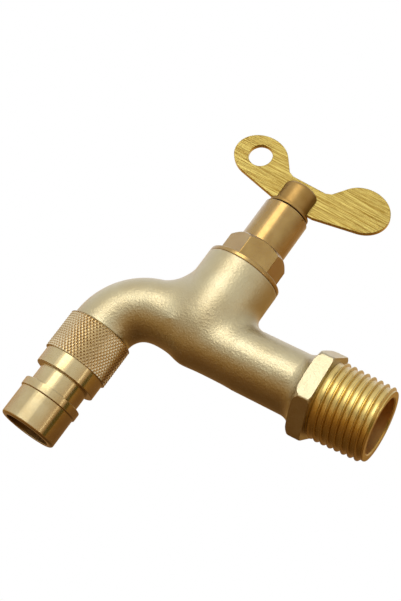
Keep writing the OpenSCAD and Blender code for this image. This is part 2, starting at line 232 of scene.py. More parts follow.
def hexed(bm: bmesh.types.BMesh, across: float, turn: float) -> list[bmesh.types.BMFace]:
    """Mill six flats round Z.

    Args:
        bm: The turned shape.
        across: Width across the flats.
        turn: Turn of the first flat's normal from X, in degrees.

    Returns:
        The faces of the flats.
    """
    flats = []
    for side in range(6):
        angle = math.radians(turn + 60 * side)
        normal = Vector((math.cos(angle), math.sin(angle), 0))
        cut = bmesh.ops.bisect_plane(bm, geom=bm.verts[:] + bm.edges[:] + bm.faces[:], dist=1e-5,
                                     plane_co=normal * across / 2, plane_no=normal,
                                     clear_outer=True)
        rim = [e for e in cut["geom_cut"] if isinstance(e, bmesh.types.BMEdge) and e.is_valid]
        rim = [e for e in rim if e.is_boundary]
        flats += bmesh.ops.contextual_create(bm, geom=rim)["faces"]
    bmesh.ops.recalc_face_normals(bm, faces=bm.faces)
    return flats


def add_mesh(bm: bmesh.types.BMesh, other: bmesh.types.BMesh) -> None:
    """Append one mesh to another; the second is freed."""
    mesh = mesh_of(other, "appended")
    bm.from_mesh(mesh)
    bpy.data.meshes.remove(mesh)


def set_material(faces: Iterable[bmesh.types.BMFace], index: int) -> None:
    """Give faces the material of one slot."""
    for face in faces:
        face.material_index = index


def polar(place: Matrix, point: Vector) -> tuple[float, float, float]:
    """Radius, angle and height of a point in a frame."""
    local = place.inverted() @ point
    return math.hypot(local.x, local.y), math.atan2(local.y, local.x), local.z


def open_rim(bm: bmesh.types.BMesh, place: Matrix, radius: float, height: float,
             slack: float = 0.4) -> list[bmesh.types.BMEdge]:
    """Find the open edges that lie on a circle about a frame's Z.

    Args:
        bm: The mesh.
        place: The frame.
        radius: Radius of the circle.
        height: Height of the circle.
        slack: How far from the circle an edge may lie.

    Returns:
        The edges of that rim.
    """
    found = []
    for edge in bm.edges:
        if not edge.is_boundary:
            continue
        spots = [polar(place, v.co) for v in edge.verts]
        if all(abs(r - radius) < slack and abs(z - height) < slack for r, _, z in spots):
            found.append(edge)
    return found


def set_rim(verts: Iterable[bmesh.types.BMVert], place: Matrix, radius: float, height: float) -> None:
    """Move the vertices of a rim onto a true circle."""
    for vert in verts:
        _, angle, _ = polar(place, vert.co)
        vert.co = place @ Vector((radius * math.cos(angle), radius * math.sin(angle), height))


def carry_rim(bm: bmesh.types.BMesh, edges: list[bmesh.types.BMEdge], place: Matrix,
              stations: Sequence[Point], material: int) -> list[bmesh.types.BMEdge]:
    """Set a rim round and carry it on through more circles.

    Args:
        bm: The mesh.
        edges: The open rim.
        place: The frame of the circles.
        stations: (radius, height) of the rim itself and of each circle after it.
        material: Material slot of the new faces.

    Returns:
        The last rim.
    """
    set_rim({v for e in edges for v in e.verts}, place, *stations[0])
    for radius, height in stations[1:]:
        made = bmesh.ops.extrude_edge_only(bm, edges=edges)["geom"]
        set_material([f for f in made if isinstance(f, bmesh.types.BMFace)], material)
        set_rim([v for v in made if isinstance(v, bmesh.types.BMVert)], place, radius, height)
        edges = [e for e in made if isinstance(e, bmesh.types.BMEdge) and e.is_boundary]
    return edges


def bridge(bm: bmesh.types.BMesh, first: list[bmesh.types.BMEdge],
           second: list[bmesh.types.BMEdge], material: int) -> None:
    """Close the band between two open rims."""
    set_material(bmesh.ops.bridge_loops(bm, edges=first + second)["faces"], material)


def piece(name: str, bm: bmesh.types.BMesh, place: Matrix, materials: Sequence[bpy.types.Material],
          body: Body, nodes: Sequence[str], crease: float = 32.0) -> bpy.types.Object:
    """Place a finished shape in metres and hand it to its body.

    Args:
        name: Name of the piece.
        bm: Its mesh in millimetres, in its own frame.
        place: That frame.
        materials: Finishes, in the order of the material indices.
        body: The body that it moves with.
        nodes: The solids that it stands for.
        crease: Angle between faces above which an edge stays crisp, in degrees.

    Returns:
        The object.
    """
    bmesh.ops.transform(bm, matrix=Matrix.Scale(MM, 4) @ place, verts=bm.verts)
    bmesh.ops.recalc_face_normals(bm, faces=bm.faces)
    open_edges = sum(1 for e in bm.edges if not e.is_manifold)
    obj = loose_object(bm, name)
    for material in materials:
        obj.data.materials.append(material)
    obj.data.shade_smooth()
    obj.data.set_sharp_from_angle(angle=math.radians(crease))
    weighted = obj.modifiers.new("weighted_normals", "WEIGHTED_NORMAL")
    weighted.keep_sharp = True
    weighted.weight = 50
    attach(obj, body.value)
    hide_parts(*nodes)
    log.info("%s: %d faces, %d open edges", name, len(obj.data.polygons), open_edges)
    return obj


class Tree:
    """Short calls for building a node tree."""

    def __init__(self, tree: bpy.types.NodeTree) -> None:
        """Start with an empty tree."""
        self.tree = tree
        tree.nodes.clear()

    def node(self, kind: str, **settings: object) -> bpy.types.Node:
        """Add a node and set its properties."""
        made = self.tree.nodes.new(kind)
        for key, value in settings.items():
            setattr(made, key, value)
        return made

    def link(self, source: bpy.types.NodeSocket, target: bpy.types.NodeSocket) -> None:
        """Link two sockets."""
        self.tree.links.new(source, target)

    def place(self, frame_mm: Matrix) -> bpy.types.NodeSocket:
        """Object coordinates as millimetres in a piece's own frame."""
        where = self.node("ShaderNodeTexCoord")
        mapping = self.node("ShaderNodeMapping", vector_type="TEXTURE")
        mapping.inputs["Location"].default_value = frame_mm.translation * MM
        mapping.inputs["Rotation"].default_value = frame_mm.to_euler()
        mapping.inputs["Scale"].default_value = (MM, MM, MM)
        self.link(where.outputs["Object"], mapping.inputs["Vector"])
        return mapping.outputs["Vector"]

    def stretch(self, vector: bpy.types.NodeSocket, scale: Sequence[float]) -> bpy.types.NodeSocket:
        """Scale a coordinate along its axes."""
        mapping = self.node("ShaderNodeMapping", vector_type="POINT")
        mapping.inputs["Scale"].default_value = scale
        self.link(vector, mapping.inputs["Vector"])
        return mapping.outputs["Vector"]

    def turning_lines(self, vector: bpy.types.NodeSocket) -> bpy.types.NodeSocket:
        """A coordinate of radius and height only, so that a pattern runs round the axis."""
        parts = self.node("ShaderNodeSeparateXYZ")
        flat = self.node("ShaderNodeCombineXYZ")
        radius = self.node("ShaderNodeVectorMath", operation="LENGTH")
        round_place = self.node("ShaderNodeCombineXYZ")
        self.link(vector, parts.inputs["Vector"])
        self.link(parts.outputs["X"], flat.inputs["X"])
        self.link(parts.outputs["Y"], flat.inputs["Y"])
        self.link(flat.outputs["Vector"], radius.inputs[0])
        self.link(radius.outputs["Value"], round_place.inputs["X"])
        self.link(parts.outputs["Z"], round_place.inputs["Z"])
        return round_place.outputs["Vector"]

    def noise(self, vector: bpy.types.NodeSocket, scale: float, detail: float = 2.0,
              roughness: float = 0.5) -> bpy.types.NodeSocket:
        """Noise in steps per millimetre."""
        made = self.node("ShaderNodeTexNoise")
        made.inputs["Scale"].default_value = scale
        made.inputs["Detail"].default_value = detail
        made.inputs["Roughness"].default_value = roughness
        self.link(vector, made.inputs["Vector"])
        return made.outputs["Fac"]

    def spread(self, value: bpy.types.NodeSocket, low: float, high: float) -> bpy.types.NodeSocket:
        """Map the middle of a noise onto a range of values."""
        made = self.node("ShaderNodeMapRange", clamp=True)
        made.inputs["From Min"].default_value = 0.3
        made.inputs["From Max"].default_value = 0.7
        made.inputs["To Min"].default_value = low
        made.inputs["To Max"].default_value = high
        self.link(value, made.inputs["Value"])
        return made.outputs["Result"]

    def blend(self, value: bpy.types.NodeSocket, first: Colour, second: Colour,
              width: float = 0.2) -> bpy.types.NodeSocket:
        """A colour between two, by a noise; a smaller width sets them off more."""
        ramp = self.node("ShaderNodeValToRGB")
        ramp.color_ramp.elements[0].position = 0.5 - width
        ramp.color_ramp.elements[1].position = 0.5 + width
        ramp.color_ramp.elements[0].color = (*first, 1)
        ramp.color_ramp.elements[1].color = (*second, 1)
        self.link(value, ramp.inputs["Fac"])
        return ramp.outputs["Color"]

    def bump(self, height: bpy.types.NodeSocket, depth_mm: float,
             under: bpy.types.NodeSocket | None = None) -> bpy.types.NodeSocket:
        """Relief of a depth in millimetres, on top of another one."""
        made = self.node("ShaderNodeBump")
        made.inputs["Strength"].default_value = 1.0
        made.inputs["Distance"].default_value = depth_mm * MM
        self.link(height, made.inputs["Height"])
        if under is not None:
            self.link(under, made.inputs["Normal"])
        return made.outputs["Normal"]

    def surface(self, metallic: float, roughness: bpy.types.NodeSocket, colour: bpy.types.NodeSocket,
                normal: bpy.types.NodeSocket, coat: float = 0.0) -> bpy.types.Node:
        """The shader and its output."""
        shader = self.node("ShaderNodeBsdfPrincipled")
        output = self.node("ShaderNodeOutputMaterial")
        shader.inputs["Metallic"].default_value = metallic
        shader.inputs["Coat Weight"].default_value = coat
        shader.inputs["Coat Roughness"].default_value = 0.3
        self.link(colour, shader.inputs["Base Color"])
        self.link(roughness, shader.inputs["Roughness"])
        self.link(normal, shader.inputs["Normal"])
        self.link(shader.outputs["BSDF"], output.inputs["Surface"])
        return shader


def linear(red: int, green: int, blue: int) -> Colour:
    """A colour that is given as it looks, from 0 to 255, as scene values."""
    def one(value: int) -> float:
        """One channel."""
        part = value / 255
        return part / 12.92 if part <= 0.04045 else ((part + 0.055) / 1.055) ** 2.4
    return one(red), one(green), one(blue)


@dataclass(frozen=True)
class Finish:
    """What every finish has: a name, two tones and a range of roughness."""

    name: str
    tone: Colour
    second_tone: Colour
    smooth: float
    rough: float
    coat: float = 0.0

    def tree(self) -> tuple[bpy.types.Material, Tree]:
        """A new material and its tree."""
        material = bpy.data.materials.new(self.name)
        material.use_nodes = True
        return material, Tree(material.node_tree)


@dataclass(frozen=True)
class Blasted(Finish):
    """Satin metal, blasted with fine beads: small dimples over a soft unevenness."""

    grain: float = 1.9
    grain_depth: float = 0.11
    wave_depth: float = 0.04

    def material(self) -> bpy.types.Material:
        """Make the material."""
        material, tree = self.tree()
        spot = tree.place(Matrix())
        grain = tree.noise(spot, self.grain, 3.0, 0.6)
        wave = tree.noise(spot, 0.35, 1.0)
        colour = tree.blend(tree.noise(spot, 0.12, 2.0), self.tone, self.second_tone)
        rough = tree.spread(grain, self.smooth, self.rough)
        normal = tree.bump(grain, self.grain_depth, tree.bump(wave, self.wave_depth))
        tree.surface(1.0, rough, colour, normal, self.coat)
        return material


@dataclass(frozen=True)
class Turned(Finish):
    """Metal with the fine rings of a lathe about one axis."""

    place: Matrix = field(default_factory=Matrix)
    line_depth: float = 0.004

    def material(self) -> bpy.types.Material:
        """Make the material."""
        material, tree = self.tree()
        spot = tree.place(self.place)
        rings = tree.turning_lines(spot)
        fine = tree.noise(tree.stretch(rings, (1, 1, 1)), 7.0, 3.0, 0.7)
        cloud = tree.noise(spot, 0.25, 2.0)
        colour = tree.blend(cloud, self.tone, self.second_tone)
        rough = tree.spread(fine, self.smooth, self.rough)
        tree.surface(1.0, rough, colour, tree.bump(fine, self.line_depth), self.coat)
        return material


@dataclass(frozen=True)
class Brushed(Finish):
    """Sheet brushed with straight strokes along X of its frame."""

    place: Matrix = field(default_factory=Matrix)
    line_depth: float = 0.02

    def material(self) -> bpy.types.Material:
        """Make the material."""
        material, tree = self.tree()
        spot = tree.place(self.place)
        strokes = tree.noise(tree.stretch(spot, (0.12, 1.0, 6.0)), 1.0, 4.0, 0.8)
        broad = tree.noise(tree.stretch(spot, (0.09, 0.3, 4.4)), 1.0, 4.0, 0.8)
        colour = tree.blend(broad, self.tone, self.second_tone, 0.08)
        rough = tree.spread(strokes, self.smooth, self.rough)
        tree.surface(1.0, rough, colour, tree.bump(strokes, self.line_depth), self.coat)
        return material


@dataclass(frozen=True)
class Moulded(Finish):
    """Rubber, plastic or ceramic with a fine matt grain."""

    grain: float = 4.0
    grain_depth: float = 0.01

    def material(self) -> bpy.types.Material:
        """Make the material."""
        material, tree = self.tree()
        spot = tree.place(Matrix())
        grain = tree.noise(spot, self.grain, 3.0)
        colour = tree.blend(tree.noise(spot, 0.4, 2.0), self.tone, self.second_tone)
        rough = tree.spread(grain, self.smooth, self.rough)
        tree.surface(0.0, rough, colour, tree.bump(grain, self.grain_depth))
        return material


@dataclass
class Casting:
    """Body of the tap: cast chamber, barrel and spout with a machined pipe end."""

    voxel: float = 0.36
    smooth_passes: int = 14
    blend_passes: int = 320
    blend_reach: Point = (2.2, 4.8)
    barrel_r: float = 8.4
    bore_r: float = 6.5
    join_x: float = -9.4
    hex_across: float = 22.0
    hex_turn: float = 27.0
    hex_thick: float = 4.3
    hex_land_r: float = 12.5
    flange_round: float = 1.8
    flare: float = 4.3
    thread_r: float = 10.478
    thread_len: float = 15.5
    thread_pitch: float = 1.814
    thread_depth: float = 0.7
    thread_root: float = 0.95
    taper: float = 1 / 32
    mouth_r: float = 7.5
    mouth_depth: float = 12.0
    chamber_r: float = 10.65
    chamber_top: float = 20.5
    screw_r: float = 9.0
    spout_reach: float = 22.7
    spout_shoulder: float = -11.95
    spout_bore_r: float = 6.2
    spout_thread_r: float = 7.6
    spout_end: float = -20.5
    edge: float = 0.18

    def cast_form(self) -> bmesh.types.BMesh:
        """The solid's form with its fillets run together, in millimetres."""
        bm = bmesh.new()
        bm.from_mesh(frame["nodes"]["body"].data)
        bmesh.ops.remove_doubles(bm, verts=bm.verts, dist=0.002 * MM)
        obj = loose_object(bm, "cast_form")
        remesh = obj.modifiers.new("even_grid", "REMESH")
        remesh.mode = "VOXEL"
        remesh.voxel_size = self.voxel * MM
        self.smoothing(obj, self.smooth_passes)
        form = evaluated(obj)
        bmesh.ops.scale(form, vec=Vector((1, 1, 1)) / MM, verts=form.verts)
        return self.blended(form)

    def smoothing(self, obj: bpy.types.Object, passes: int, group: str = "") -> None:
        """Let the skin settle for a number of passes, all of it or by the weights of a group."""
        smooth = obj.modifiers.new("smoothing", "SMOOTH")
        smooth.factor = 0.5
        smooth.iterations = passes
        smooth.vertex_group = group

    def blended(self, form: bmesh.types.BMesh) -> bmesh.types.BMesh:
        """Run the fillets together where the chamber's skin and the barrel's skin meet."""
        near, far = self.blend_reach
        back = spindle_frame().inverted()
        weight = form.verts.layers.deform.verify()
        for vert in form.verts:
            beyond = (back @ vert.co).xy.length - self.chamber_r
            to_chamber = max(beyond, -0.35 * beyond)
            to_barrel = abs(vert.co.yz.length - self.barrel_r)
            shares = [min(max((far - gap) / (far - near), 0), 1) for gap in (to_chamber, to_barrel)]
            vert[weight][0] = shares[0] * shares[1]
        obj = loose_object(form, "blended_form")
        obj.vertex_groups.new(name="blend")
        self.smoothing(obj, self.blend_passes, "blend")
        return evaluated(obj)

    def trim(self, bm: bmesh.types.BMesh, place: Matrix, height: float, up: int) -> None:
        """Cut the casting square to an axis and drop what lies beyond."""
        normal = place.to_3x3() @ Vector((0, 0, up))
        bmesh.ops.bisect_plane(bm, geom=bm.verts[:] + bm.edges[:] + bm.faces[:], dist=1e-5,
                               plane_co=place @ Vector((0, 0, height)), plane_no=normal,
                               clear_outer=True)

    def true_up(self, bm: bmesh.types.BMesh, place: Matrix, radius: float, end: float, start: float) -> None:
        """Bring the skin near a machined end onto its true radius, more and more towards the end."""
        back = place.inverted()
        for vert in bm.verts:
            local = back @ vert.co
            share = (local.z - start) / (end - start)
            reach = math.hypot(local.x, local.y)
            if share > 0 and abs(reach - radius) < 0.4:
                pull = min(share, 1.0) * (radius / reach - 1) + 1
                vert.co = place @ Vector((local.x * pull, local.y * pull, local.z))

    def chamber_rim(self, bm: bmesh.types.BMesh) -> None:
        """Flat top of the chamber, with the mouth of its screwed bore."""
        place, top = spindle_frame(), self.chamber_top
        cut = top - 0.4
        self.true_up(bm, place, self.chamber_r, cut, cut - 2)
        self.trim(bm, place, cut, 1)
        outer = carry_rim(bm, open_rim(bm, place, self.chamber_r, cut), place,
                          [(self.chamber_r, cut), (self.chamber_r, top - self.edge),
                           (self.chamber_r - self.edge * 0.3, top - self.edge * 0.3),
                           (self.chamber_r - self.edge, top)], 0)
        inner = carry_rim(bm, open_rim(bm, place, self.screw_r, cut), place,
                          [(self.screw_r, cut), (self.screw_r, top - self.edge),
                           (self.screw_r + self.edge, top)], 1)
        bridge(bm, outer, inner, 1)

    def spout_rim(self, bm: bmesh.types.BMesh) -> None:
        """Shoulder and threaded end of the spout, inside the nozzle."""
        place, shoulder = spindle_frame(shift=-self.spout_reach), self.spout_shoulder
        cut = shoulder + 0.4
        self.true_up(bm, place, self.barrel_r, cut, cut + 0.8)
        self.trim(bm, place, cut, -1)
        skin = carry_rim(bm, open_rim(bm, place, self.barrel_r, cut), place,
                         [(self.barrel_r, cut), (self.barrel_r, shoulder + self.edge),
                          (self.barrel_r - self.edge, shoulder)], 0)
        outer = carry_rim(bm, skin, place,
                          [(self.barrel_r - self.edge, shoulder), (self.spout_thread_r, shoulder),
                           (self.spout_thread_r, self.spout_end + 0.4),
                           (self.spout_thread_r - 0.4, self.spout_end)], 1)
        inner = carry_rim(bm, open_rim(bm, place, self.spout_bore_r, cut), place,
                          [(self.spout_bore_r, cut), (self.spout_bore_r, self.spout_end)], 1)
        bridge(bm, outer, inner, 1)

    def flange(self) -> bmesh.types.BMesh:
        """Hexagon flange: a concave flare, a rounded shoulder and six milled flats."""
        land, back = self.hex_land_r, -self.hex_thick
        shoulder = arc((land - self.flange_round, back + self.flange_round - 0.3), self.flange_round,
                       0, -55, 8)
        flare_c = (self.barrel_r + self.flare, back - self.flare + 0.35)
        foot = arc(flare_c, self.flare, 118, 180, 8)
        bm = spun([(self.thread_r - self.thread_depth - 0.1, 0), (land - 0.3, 0), (land, -0.25)]
                  + shoulder + foot + [(self.barrel_r, self.join_x + 0.15)], closed=False)
        hexed(bm, self.hex_across, self.hex_turn)
        return bm

    def thread_radius(self, height: float) -> float:
        """Root radius of the tapered thread at a height above the flange."""
        return self.thread_r - self.thread_depth - self.taper * height

    def pipe_thread(self) -> bmesh.types.BMesh:
        """Right-hand thread: one tooth carried along a helix, faded out at both ends."""
        pitch, root, crest = self.thread_pitch, self.thread_r - self.thread_depth, self.thread_r
        foot, top = self.thread_root / 2, pitch / 2
        tooth = [(root, 0), (root, foot - 0.06), (root + 0.05, foot + 0.04), (crest - 0.05, top - 0.12),
                 (crest, top - 0.06), (crest, top + 0.06), (crest - 0.05, top + 0.12),
                 (root + 0.05, pitch - foot - 0.04), (root, pitch - foot + 0.06), (root, pitch)]
        turns = math.ceil(self.thread_len / pitch) + 3
        bm = bmesh.new()
        verts = [bm.verts.new((r, 0, z - 2 * pitch)) for r, z in tooth]
        edges = [bm.edges.new(pair) for pair in zip(verts, verts[1:])]
        bmesh.ops.spin(bm, geom=verts + edges, cent=(0, 0, 0), axis=(0, 0, 1),
                       dvec=(0, 0, pitch / ROUND_STEPS), angle=math.tau * turns,
                       steps=ROUND_STEPS * turns, use_merge=False)
        bmesh.ops.remove_doubles(bm, verts=bm.verts, dist=0.01)
        everything = Matrix()
        self.trim(bm, everything, self.thread_len - 0.05, 1)
        self.trim(bm, everything, 0.02, -1)
        for vert in bm.verts:
            reach = math.hypot(vert.co.x, vert.co.y)
            height = vert.co.z
            start = min(max((height - 0.15) / 1.1, 0), 1)
            end = min(max((self.thread_len - 0.05 - height) / 0.6, 0), 1)
            deep = self.thread_radius(height)
            true = deep + (reach - root) * start
            true = min(true, deep + self.thread_depth * end)
            vert.co.x *= true / reach
            vert.co.y *= true / reach
        return bm

    def pipe_bore(self) -> bmesh.types.BMesh:
        """End face of the pipe end and its stepped bore."""
        end, step = self.thread_len, self.thread_len - self.mouth_depth
        bm = spun([(self.thread_radius(end), end), (self.mouth_r + 0.3, end),
                   (self.mouth_r, end - 0.3), (self.mouth_r, step + 0.5), (self.bore_r + 0.1, step),
                   (self.bore_r, step - 0.1), (self.bore_r, self.join_x + 0.15)], closed=False)
        set_material(bm.faces, 2)
        set_material((f for f in bm.faces if f.calc_center_median().z > end - 0.3), 1)
        return bm

    def build(self, cast: bpy.types.Material, machined: bpy.types.Material,
              drilled: bpy.types.Material) -> bpy.types.Object:
        """Model the casting and its machined end as one closed shell.

        Args:
            cast: Finish of the blasted skin.
            machined: Finish of the thread, the faces and the spout's end.
            drilled: Finish of the bore from the pipe end.

        Returns:
            The piece.
        """
        bm = self.cast_form()
        self.chamber_rim(bm)
        self.spout_rim(bm)
        place = inlet_frame()
        self.true_up(bm, place, self.barrel_r, self.join_x, self.join_x - 4)
        self.trim(bm, place, self.join_x, 1)
        set_rim({v for e in open_rim(bm, place, self.barrel_r, self.join_x) for v in e.verts},
                place, self.barrel_r, self.join_x)
        thread = self.pipe_thread()
        set_material(thread.faces, 1)
        for part in (self.flange(), thread, self.pipe_bore()):
            bmesh.ops.transform(part, matrix=place, verts=part.verts)
            add_mesh(bm, part)
        seam = self.join_x + 0.15
        root = self.thread_radius(0)
        bridge(bm, open_rim(bm, place, self.barrel_r, self.join_x, 0.05),
               open_rim(bm, place, self.barrel_r, seam, 0.05), 0)
        bridge(bm, open_rim(bm, place, self.bore_r, self.join_x, 0.07),
               open_rim(bm, place, self.bore_r, seam, 0.07), 2)
        bridge(bm, open_rim(bm, place, root - 0.1, 0, 0.01),
               open_rim(bm, place, root, 0.02, 0.009), 1)
        tip = self.thread_radius(self.thread_len)
        bridge(bm, open_rim(bm, place, tip, self.thread_len - 0.05, 0.02),
               open_rim(bm, place, tip, self.thread_len, 0.01), 1)
        return piece("tap_casting", bm, Matrix(), (cast, machined, drilled), Body.TAP,
                     ("body",))


@dataclass
class Bonnet:
    """Turned bonnet that screws into the chamber and holds the valve."""

    sleeve: Point = (7.3, 6.6)
    disc_bore_r: float = 6.3
    screw: Point = (8.96, 15.0)
    screw_shelf: float = 14.8
    groove: float = 1.2
    seat: float = 20.5
    collar: Point = (10.6, 21.8)
    hex_across: float = 15.3
    hex_top: float = 29.0
    hex_turn: float = 25.0
    hex_chamfer: float = 1.2
    barrel: Point = (6.5, 41.5)
    stem_bore_r: float = 4.0
    key_bore_r: float = 5.0
    key_bore_z: float = 33.0
    edge: float = 0.25
    window: tuple[float, float, float] = (8.0, 10.63, 3.2)

    def turning(self) -> bmesh.types.BMesh:
        """The turned form with its bores."""
        sleeve_r, foot = self.sleeve
        screw_r, screw_z = self.screw
        collar_r, collar_z = self.collar
        barrel_r, top = self.barrel
        bm = spun([
            (self.disc_bore_r, foot), (sleeve_r, foot), (sleeve_r, screw_z), (screw_r, screw_z),
            (screw_r, self.seat - self.groove), (screw_r - self.groove, self.seat - self.groove),
            (screw_r - self.groove, self.seat), (collar_r, self.seat), (collar_r, collar_z),
            (barrel_r, collar_z), (barrel_r, top), (self.key_bore_r, top),
            (self.key_bore_r, self.key_bore_z), (self.stem_bore_r, self.key_bore_z),
            (self.stem_bore_r, self.screw_shelf), (self.disc_bore_r, self.screw_shelf)])
        ease_edges(bm, self.edge, segments=3, keep=lambda e: e.verts[0].co.z > self.seat - 0.1)
        return bm

    def spanner_hex(self) -> bmesh.types.BMesh:
        """Hexagon over the collar, chamfered at its top."""
        flat_r = self.hex_across / 2
        corner_r = flat_r / math.cos(math.radians(30)) - 0.08
        land = flat_r - 0.2
        inner = self.stem_bore_r + 1
        bm = spun([(inner, self.collar[1] - 0.5), (corner_r, self.collar[1] - 0.5),
                   (corner_r, self.hex_top - self.hex_chamfer), (land, self.hex_top),
                   (inner, self.hex_top)])
        hexed(bm, self.hex_across, 30 + self.hex_turn)
        return bm

    def build(self, finish: bpy.types.Material) -> bpy.types.Object:
        """Model the bonnet as one closed shell."""
        width, low, high = self.window
        bm = worked(self.turning(), self.spanner_hex(), Join.ADD)
        reach = self.sleeve[0] + 1
        bm = worked(bm, block((-reach, -width / 2, low), (reach, width / 2, low + high)), Join.CUT)
        return piece("bonnet_turning", bm, spindle_frame(), (finish,), Body.TAP,
                     ("bonnet",))


@dataclass
class Key:
    """Butterfly key: slotted turned body with a stamped sheet pressed across it."""

    turn: float = 4.0
    shift: float = 0.6
    shank: Point = (4.93, 34.67)
    socket: Point = (5.54, 40.3)
    flange: tuple[float, float, float] = (5.95, 42.0, 43.0)
    head: Point = (5.0, 49.7)
    head_round: float = 1.1
    slot_z: float = 43.9
    sheet: float = 1.5
    neck_x: float = 6.0
    neck_top: float = 52.0
    corner_r: float = 0.9
    lobe: tuple[float, float] = (15.6, 13.0)
    lobe_place: Point = (16.0, 52.7)
    hole_r: float = 3.3
    hole_place: Point = (-16.3, 52.9)
    sheet_edge: float = 0.14

    def stem(self, finish: bpy.types.Material) -> bpy.types.Object:
        """Turned body with its square socket and the slot for the sheet."""
        flange_r, low, high = self.flange
        head_r, top = self.head
        shank_r, foot = self.shank
        crown = arc((head_r - self.head_round, top - self.head_round), self.head_round, 0, 90, 10)
        bm = spun([(0, foot), (shank_r, foot), (shank_r, low), (flange_r, low), (flange_r, high),
                   (head_r, high)] + crown + [(0, top)], closed=False)
        ease_edges(bm, 0.16, segments=2, sharp=40)
        side = self.socket[0] / 2
        bm = worked(bm, block((-side, -side, foot - 1), (side, side, self.socket[1])), Join.CUT)
        half = self.sheet / 2 + 0.02
        slot = block((-head_r - 1, -half, self.slot_z), (head_r + 1, half, top + 1))
        bm = worked(bm, slot, Join.CUT)
        return piece("key_body", bm, spindle_frame(self.turn), (finish,), Body.KEY,
                     ("key_stem",))

    def half_outline(self) -> list[Point]:
        """Right half of the sheet's outline: neck corner, two straight edges and the lobe between."""
        width, height = self.lobe
        cx, cz = self.lobe_place
        squeeze = height / width
        radius = width / 2
        low = (self.neck_x, self.slot_z)
        high = (self.neck_x, self.neck_top)

        def tangent(point: Point, side: int) -> float:
            """Angle at which a line from a point touches the lobe."""
            dx, dz = point[0] - cx, (point[1] - cz) / squeeze
            spread = math.degrees(math.acos(radius / math.hypot(dx, dz)))
            return math.degrees(math.atan2(dz, dx)) + side * spread

        start, end = tangent(low, 1), tangent(high, -1)
        lobe = arc((0, 0), radius, start, end + 360 if end < start else end, 64)
        diagonal = self.corner_r * math.cos(math.radians(45))
        return ([low] + [(cx + x, cz + squeeze * z) for x, z in lobe]
                + [(high[0] + diagonal, high[1] + diagonal), (high[0] - self.corner_r, high[1])])

    def wings(self, brushed: bpy.types.Material, sheared_and_highlit: bpy.types.Material) -> bpy.types.Object:
        """Stamped sheet with two lobes and the hole for a key ring."""
        half = self.half_outline()
        outline = half + [(-x, z) for x, z in reversed(half)]
        bm = bmesh.new()
        face = bm.faces.new([bm.verts.new((x, -self.sheet / 2, z)) for x, z in outline])
        made = bmesh.ops.extrude_face_region(bm, geom=[face])["geom"]
        bmesh.ops.translate(bm, vec=(0, self.sheet, 0),
                            verts=[v for v in made if isinstance(v, bmesh.types.BMVert)])
        bmesh.ops.recalc_face_normals(bm, faces=bm.faces)
        hole = rod(self.hole_r, -2, 2)
        bmesh.ops.rotate(hole, cent=(0, 0, 0), matrix=Matrix.Rotation(math.radians(90), 3, "X"),
                         verts=hole.verts)
        bmesh.ops.translate(hole, vec=(self.hole_place[0], 0, self.hole_place[1]), verts=hole.verts)
        bm = worked(bm, hole, Join.CUT)
        ease_edges(bm, self.sheet_edge, sharp=60, segments=2)
        bm.normal_update()
        # The edge faces get the sheared finish: a real cut finish whose lighter tone is a painted highlight
        # along the edges.
        set_material((f for f in bm.faces if abs(f.normal.y) < 0.8), 1)
        return piece("wing_sheet", bm, spindle_frame(self.turn, self.shift), (brushed, sheared_and_highlit),
                     Body.KEY, ("wing_plate",))


